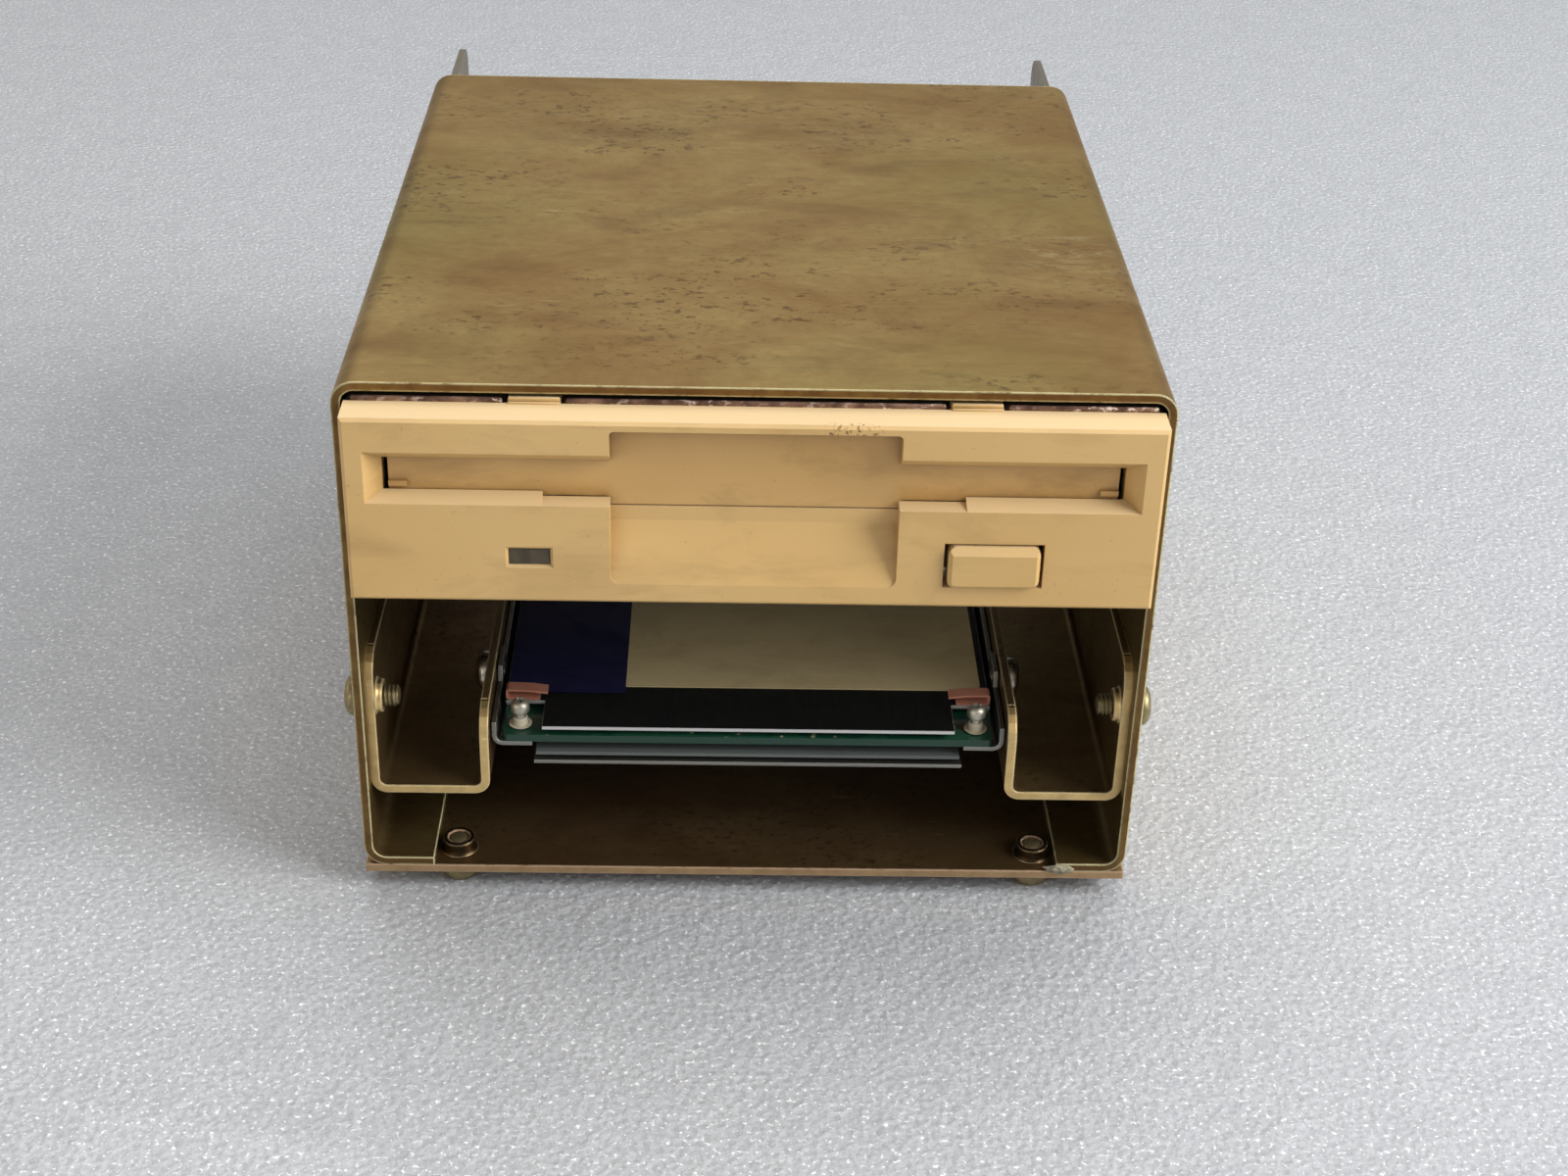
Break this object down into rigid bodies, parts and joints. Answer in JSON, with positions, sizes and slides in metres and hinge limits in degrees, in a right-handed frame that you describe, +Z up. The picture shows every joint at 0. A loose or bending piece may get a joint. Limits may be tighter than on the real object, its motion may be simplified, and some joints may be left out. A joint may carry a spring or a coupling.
{
  "type": "floppy disk drive",
  "caption": "Slot-loading disk drive with dust door, eject button and moving heads, in the top of a folded metal cage with a small memory module below.",
  "frame": {"origin": "on the surface the object stands on, under the middle of its bounding box", "axes": "+X to the right seen from the front panel, +Y from the front panel to the rear, +Z up"},
  "size_m": [0.1086, 0.1524, 0.0775],
  "materials": {
    "cage_plating": "yellowed zinc plating, brushed, stained",
    "base_plating": "yellowed zinc plating",
    "channel_plating": "yellowed zinc plating, cut edges bright",
    "yellow_zinc_screws": "yellow zinc",
    "tray_steel": "satin",
    "green_board": "solder mask",
    "lid_steel": "dark satin",
    "label_paper": "printed paper, blank",
    "label_blue": "printed paper, blank",
    "post_steel": "polished",
    "washer_nylon": "natural nylon",
    "copper_clips": "copper coloured",
    "black_chips": "moulded",
    "insulator_grey": "fish paper",
    "steel_screws": "nickel plated",
    "gold_pins": "gold flash",
    "bezel_plastic": "yellowed beige, fine texture",
    "door_plastic": "yellowed, darker",
    "button_plastic": "yellowed beige",
    "spring_steel": "spring wire",
    "smoky_lens": "smoky grey",
    "frame_steel": "galvanised, dulled",
    "cover_steel": "galvanised, dulled",
    "holder_steel": "galvanised",
    "lever_plastic": "acetal",
    "motor_board_green": "solder mask",
    "bearing_brass": "sintered",
    "stator_iron": "laminated",
    "copper_wire": "enamelled wire",
    "rotor_steel": "zinc plated",
    "magnet_dark": "bonded magnet",
    "carriage_aluminium": "die cast",
    "head_ceramic": "ground ceramic",
    "arm_plastic": "glass filled",
    "rod_steel": "ground",
    "motor_steel": "zinc plated can",
    "lamp_green": "diffuse"
  },
  "bodies": {
    "housing": {"cage_shell": "cage_plating", "base_plate": "base_plating", "foot_screws": "yellow_zinc_screws", "channel_right": "channel_plating", "channel_left": "channel_plating", "channel_screws": "yellow_zinc_screws", "drive_mount_screws": "yellow_zinc_screws", "module_tray": "tray_steel", "module_board": "green_board", "module_lid": "lid_steel", "module_label": "label_paper", "module_label_band": "label_blue", "module_posts": "post_steel", "module_washers": "washer_nylon", "module_clips": "copper_clips", "module_chips": "black_chips", "module_insulator": "insulator_grey", "module_shield": "tray_steel", "module_side_screws": "steel_screws", "module_socket": "black_chips", "module_pins": "gold_pins", "bezel": "bezel_plastic", "lamp_window": "smoky_lens", "drive_frame": "frame_steel", "top_cover": "cover_steel", "bottom_shield": "cover_steel", "slide_rivets": "post_steel", "slide_springs": "spring_steel", "spindle_motor_board": "motor_board_green", "spindle_bearing": "bearing_brass", "spindle_stator": "stator_iron", "stator_coils": "copper_wire", "guide_rod": "rod_steel", "lead_bearing": "bearing_brass", "stepper_motor": "motor_steel", "main_board": "green_board", "board_parts": "black_chips", "status_lamp": "lamp_green", "disk_sensors": "black_chips", "small_screws": "steel_screws", "rear_connectors": "black_chips", "connector_pins": "gold_pins"},
    "eject_slide": {"eject_slide": "holder_steel", "eject_button": "button_plastic"},
    "disk_holder": {"disk_holder": "holder_steel", "holder_pins": "post_steel", "lever_pivot": "post_steel", "lever_spring": "spring_steel"},
    "latch_lever": {"latch_lever": "lever_plastic"},
    "head_carriage": {"head_carriage": "carriage_aluminium", "lower_head": "head_ceramic"},
    "head_arm": {"upper_head_arm": "arm_plastic", "upper_head": "head_ceramic"},
    "lead_screw": {"lead_screw": "rod_steel"},
    "spindle": {"spindle_rotor": "rotor_steel", "rotor_magnet": "magnet_dark", "spindle_hub": "rotor_steel", "drive_pin": "post_steel"},
    "dust_door": {"dust_door": "door_plastic", "door_spring": "spring_steel"}
  },
  "joints": [
    {"name": "eject_slide", "type": "slide", "parent": "housing", "child": "eject_slide", "axis": [0, -1, 0], "range_m": [0, 0.0055], "deforming": ["slide_springs"]},
    {"name": "disk_holder", "type": "slide", "parent": "housing", "child": "disk_holder", "axis": [0, 0, -1], "range_m": [0, 0.0026]},
    {"name": "latch_lever", "type": "hinge", "parent": "disk_holder", "child": "latch_lever", "pos_m": [0.042, 0.00055, 0.0697], "axis": [0, 0, -1], "range_deg": [0, 78], "stiffness_Nm_per_rad": 0.0004, "springref_deg": -17.19},
    {"name": "head_carriage", "type": "slide", "parent": "housing", "child": "head_carriage", "axis": [0, -1, 0], "range_m": [0, 0.0148]},
    {"name": "head_arm", "type": "hinge", "parent": "head_carriage", "child": "head_arm", "pos_m": [0, 0.03915, 0.0675], "axis": [1, 0, 0], "range_deg": [0, 11.5]},
    {"name": "lead_screw", "type": "hinge", "parent": "housing", "child": "lead_screw", "pos_m": [-0.015, 0.02055, 0.0601], "axis": [0, 1, 0], "range_deg": [0, 1421]},
    {"name": "spindle", "type": "hinge", "parent": "housing", "child": "spindle", "pos_m": [0, -0.02245, 0.0611], "axis": [0, 0, 1], "continuous": true},
    {"name": "dust_door", "type": "hinge", "parent": "housing", "child": "dust_door", "pos_m": [0, -0.07115, 0.0725], "axis": [1, 0, 0], "range_deg": [0, 70], "stiffness_Nm_per_rad": 0.0006, "springref_deg": -22.92}
  ],
  "couplings": [
    {"joint": "disk_holder", "follows": "eject_slide", "ratio": 0.47273},
    {"joint": "head_arm", "follows": "eject_slide", "rad_per_m": 36.492},
    {"joint": "lead_screw", "follows": "head_carriage", "rad_per_m": 1675.5}
  ]
}
